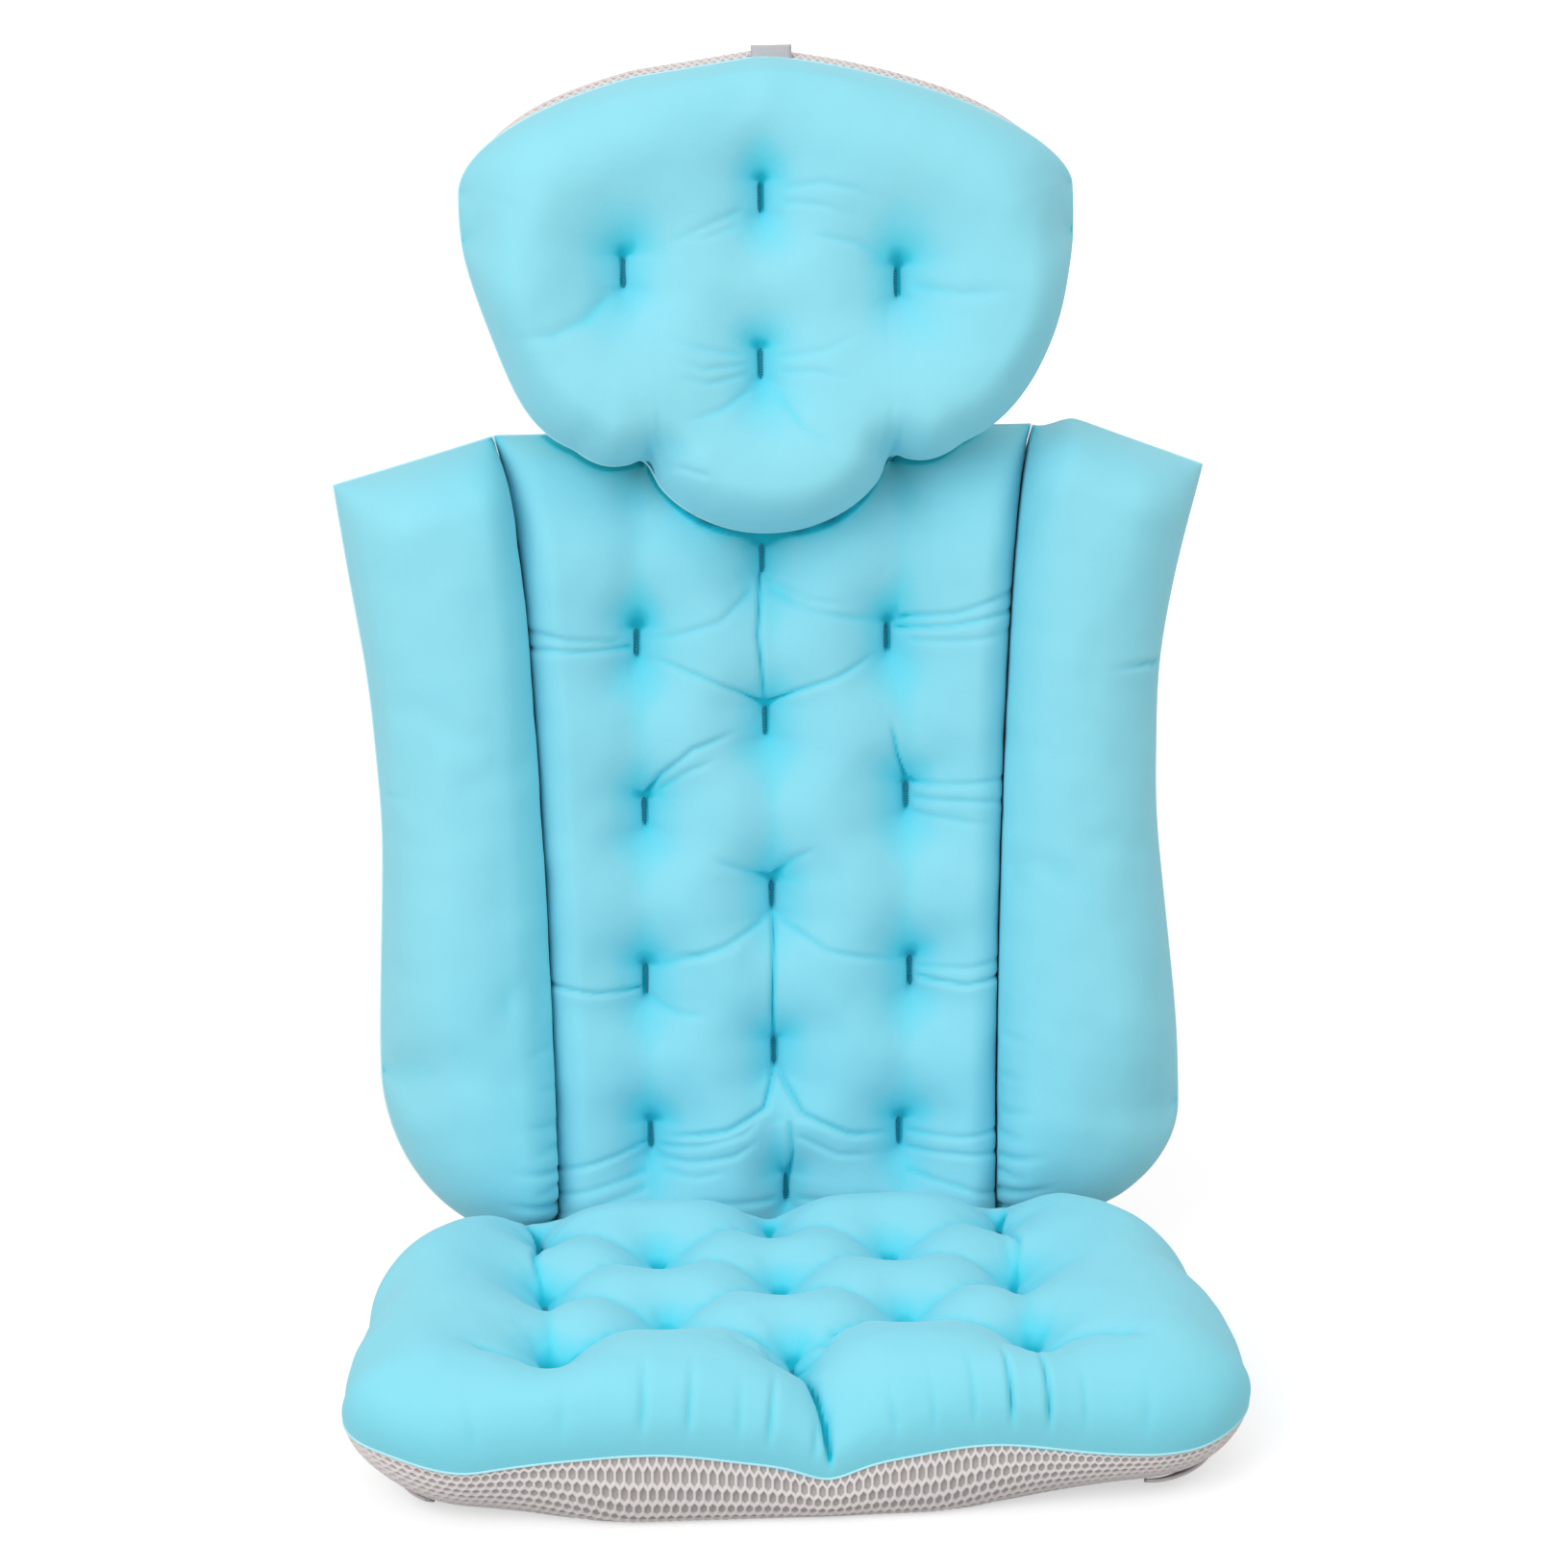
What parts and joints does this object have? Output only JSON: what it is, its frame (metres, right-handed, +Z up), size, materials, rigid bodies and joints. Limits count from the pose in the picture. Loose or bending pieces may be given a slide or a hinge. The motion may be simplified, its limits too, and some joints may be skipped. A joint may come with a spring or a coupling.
{
  "type": "bath support pillow",
  "caption": "Infant bath support pillow: tufted seat and back panel, two side wings and a scalloped head cushion, folding and hinging along soft seams, with spacer mesh behind.",
  "frame": {"origin": "middle of the seat's flat base, on the surface it stands on", "axes": "+Z up, -Y to the front where the feet go, +X to the right seen from the front"},
  "size_m": [0.35, 0.2816, 0.5094],
  "materials": {
    "turquoise_knit": "soft matte knit",
    "grey_spacer_mesh": "open spacer mesh",
    "white_fibre": "loose polyester fibre",
    "grey_tape": "smooth woven tape",
    "teal_thread": "tight bar-tack thread"
  },
  "bodies": {
    "seat": {"seat_top_cover": "turquoise_knit", "seat_filling": "white_fibre", "seat_bottom_mesh": "grey_spacer_mesh", "seat_tuft_01": "teal_thread", "seat_tuft_02": "teal_thread", "seat_tuft_03": "teal_thread", "seat_tuft_04": "teal_thread", "seat_tuft_05": "teal_thread", "seat_tuft_06": "teal_thread", "seat_tuft_07": "teal_thread", "seat_tuft_08": "teal_thread", "seat_tuft_09": "teal_thread", "seat_tuft_10": "teal_thread", "seat_tuft_11": "teal_thread", "seat_tuft_12": "teal_thread", "seat_tuft_13": "teal_thread", "fold_strip": "grey_spacer_mesh", "seat_left_tab": "grey_tape", "seat_right_tab": "grey_tape"},
    "back": {"back_front_cover": "turquoise_knit", "back_filling": "white_fibre", "back_rear_mesh": "grey_spacer_mesh", "back_tuft_01": "teal_thread", "back_tuft_02": "teal_thread", "back_tuft_03": "teal_thread", "back_tuft_04": "teal_thread", "back_tuft_05": "teal_thread", "back_tuft_06": "teal_thread", "back_tuft_07": "teal_thread", "back_tuft_08": "teal_thread", "back_tuft_09": "teal_thread", "back_tuft_10": "teal_thread", "back_tuft_11": "teal_thread", "back_tuft_12": "teal_thread", "back_tuft_13": "teal_thread", "back_tuft_14": "teal_thread", "back_tuft_15": "teal_thread", "left_wing_seam": "teal_thread", "right_wing_seam": "teal_thread"},
    "left_wing": {"left_wing_cover": "turquoise_knit", "left_wing_filling": "white_fibre", "left_wing_mesh": "grey_spacer_mesh"},
    "right_wing": {"right_wing_cover": "turquoise_knit", "right_wing_filling": "white_fibre", "right_wing_mesh": "grey_spacer_mesh"},
    "head": {"head_front_cover": "turquoise_knit", "head_filling": "white_fibre", "head_back_mesh": "grey_spacer_mesh", "head_tuft_01": "teal_thread", "head_tuft_02": "teal_thread", "head_tuft_03": "teal_thread", "head_tuft_04": "teal_thread", "head_top_tab": "grey_tape", "neck_strip": "grey_spacer_mesh"}
  },
  "joints": [
    {"name": "back_fold", "type": "hinge", "parent": "seat", "child": "back", "pos_m": [0, 0.12, 0.01], "axis": [-1, 0, 0], "range_deg": [0, 78]},
    {"name": "left_wing_swing", "type": "hinge", "parent": "back", "child": "left_wing", "pos_m": [-0.092, 0.12, 0.01], "axis": [-0.0347, 0.1735, 0.9842], "range_deg": [-60, 20]},
    {"name": "right_wing_swing", "type": "hinge", "parent": "back", "child": "right_wing", "pos_m": [0.092, 0.12, 0.01], "axis": [-0.0347, -0.1735, -0.9842], "range_deg": [-60, 20]},
    {"name": "head_tip", "type": "hinge", "parent": "back", "child": "head", "pos_m": [0, 0.18008, 0.35074], "axis": [-1, 0, 0], "range_deg": [0, 45]}
  ]
}
